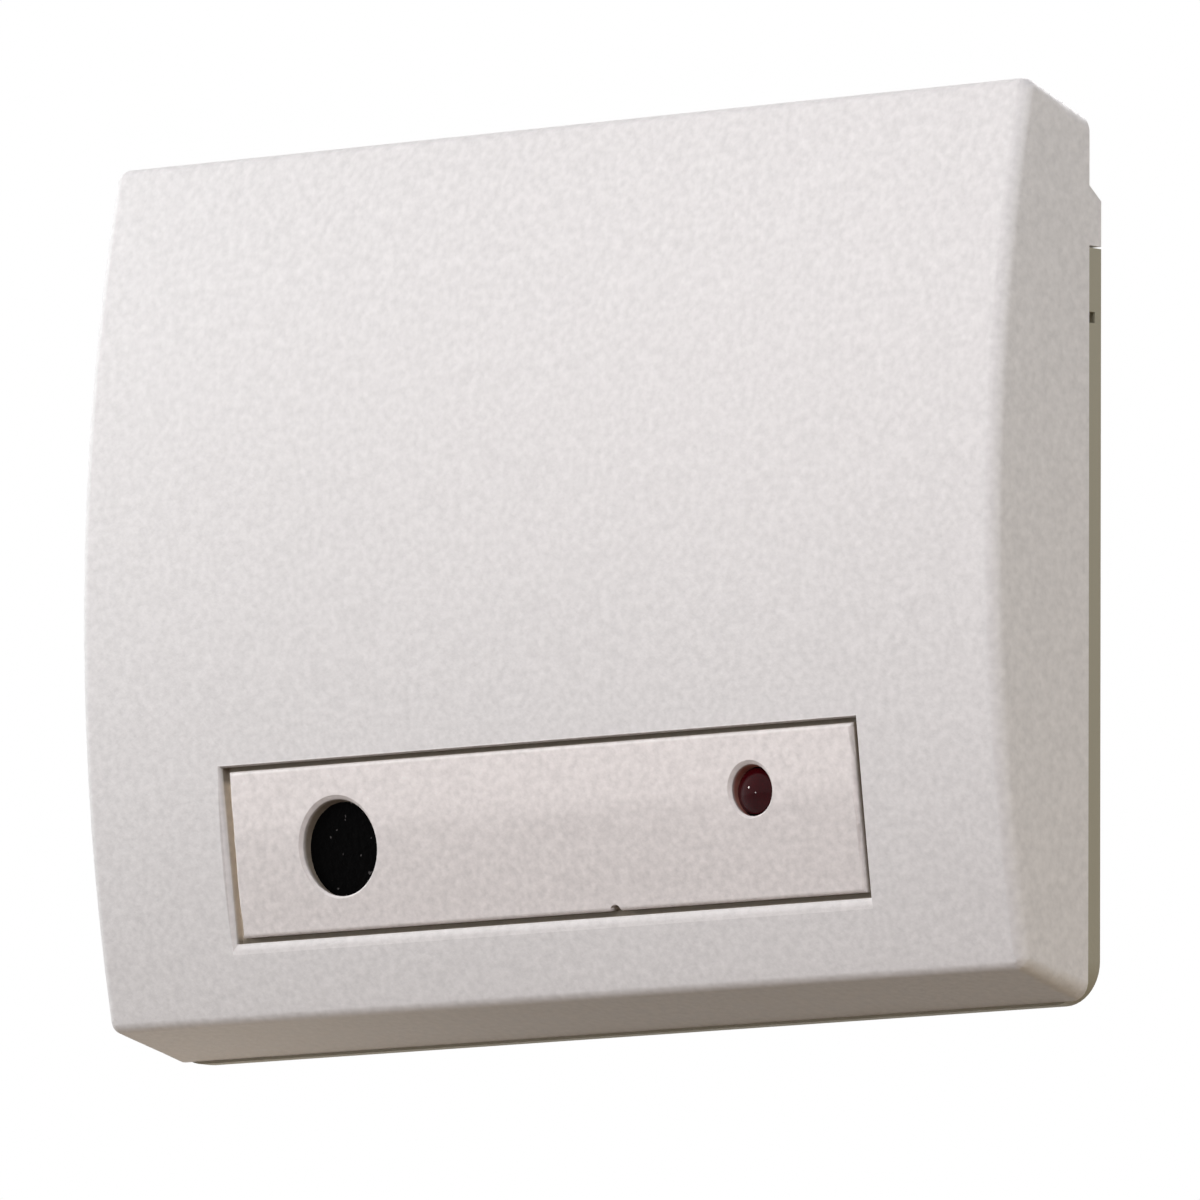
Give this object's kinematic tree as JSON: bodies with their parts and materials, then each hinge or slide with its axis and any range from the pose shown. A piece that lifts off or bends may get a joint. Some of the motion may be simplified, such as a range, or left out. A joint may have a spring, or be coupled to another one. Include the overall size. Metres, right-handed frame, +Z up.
{
  "type": "glass break sensor",
  "caption": "Wall-mounted acoustic glass break sensor: curved off-white cover, inset front panel with microphone hole and red indicator, base plate, circuit board and sprung tamper plunger.",
  "frame": {"origin": "centre of the sensor's back face, on the wall that it is fixed to", "axes": "+X to the right seen from the front, +Z up, +Y into the wall; the front faces -Y"},
  "size_m": [0.108, 0.0148, 0.0816],
  "materials": {
    "cover_plastic": "fine grained moulded plastic, off-white",
    "panel_plastic": "fine grained moulded plastic, off-white",
    "base_plastic": "moulded plastic, warm grey beige",
    "board_laminate": "green solder mask on glass laminate",
    "black_rubber": "soft moulded rubber",
    "black_felt": "open acoustic felt",
    "red_lens": "dark red tinted resin",
    "terminal_plastic": "glass-filled plastic, green",
    "relay_plastic": "moulded case, cream",
    "chip_plastic": "black moulding compound",
    "ceramic_body": "tan ceramic",
    "can_metal": "drawn can",
    "tinned_metal": "tinned sheet",
    "gold_pins": "gold flashed",
    "plunger_plastic": "white acetal",
    "screw_steel": "zinc plated"
  },
  "bodies": {
    "housing": {"front_cover": "cover_plastic", "front_panel": "panel_plastic", "base_plate": "base_plastic", "circuit_board": "board_laminate", "microphone_capsule": "tinned_metal", "microphone_boot": "black_rubber", "microphone_screen": "black_felt", "led_lamp": "red_lens", "led_leads": "tinned_metal", "terminal_block": "terminal_plastic", "terminal_clamps": "tinned_metal", "terminal_screws": "tinned_metal", "alarm_relay": "relay_plastic", "processor_chip": "chip_plastic", "amplifier_chip": "chip_plastic", "voltage_regulator": "chip_plastic", "crystal": "tinned_metal", "filter_capacitors": "can_metal", "resistors": "chip_plastic", "ceramic_capacitors": "ceramic_body", "surge_diodes": "chip_plastic", "jumper_header": "chip_plastic", "jumper_pins": "gold_pins", "jumper_cap": "chip_plastic", "tamper_switch": "chip_plastic", "board_screws": "screw_steel"},
    "plunger": {"tamper_plunger": "plunger_plastic"}
  },
  "joints": [
    {"name": "tamper_slide", "type": "slide", "parent": "housing", "child": "plunger", "axis": [0, 1, 0], "range_m": [0, 0.0005], "stiffness_N_per_m": 300, "springref_m": -0.0005}
  ]
}
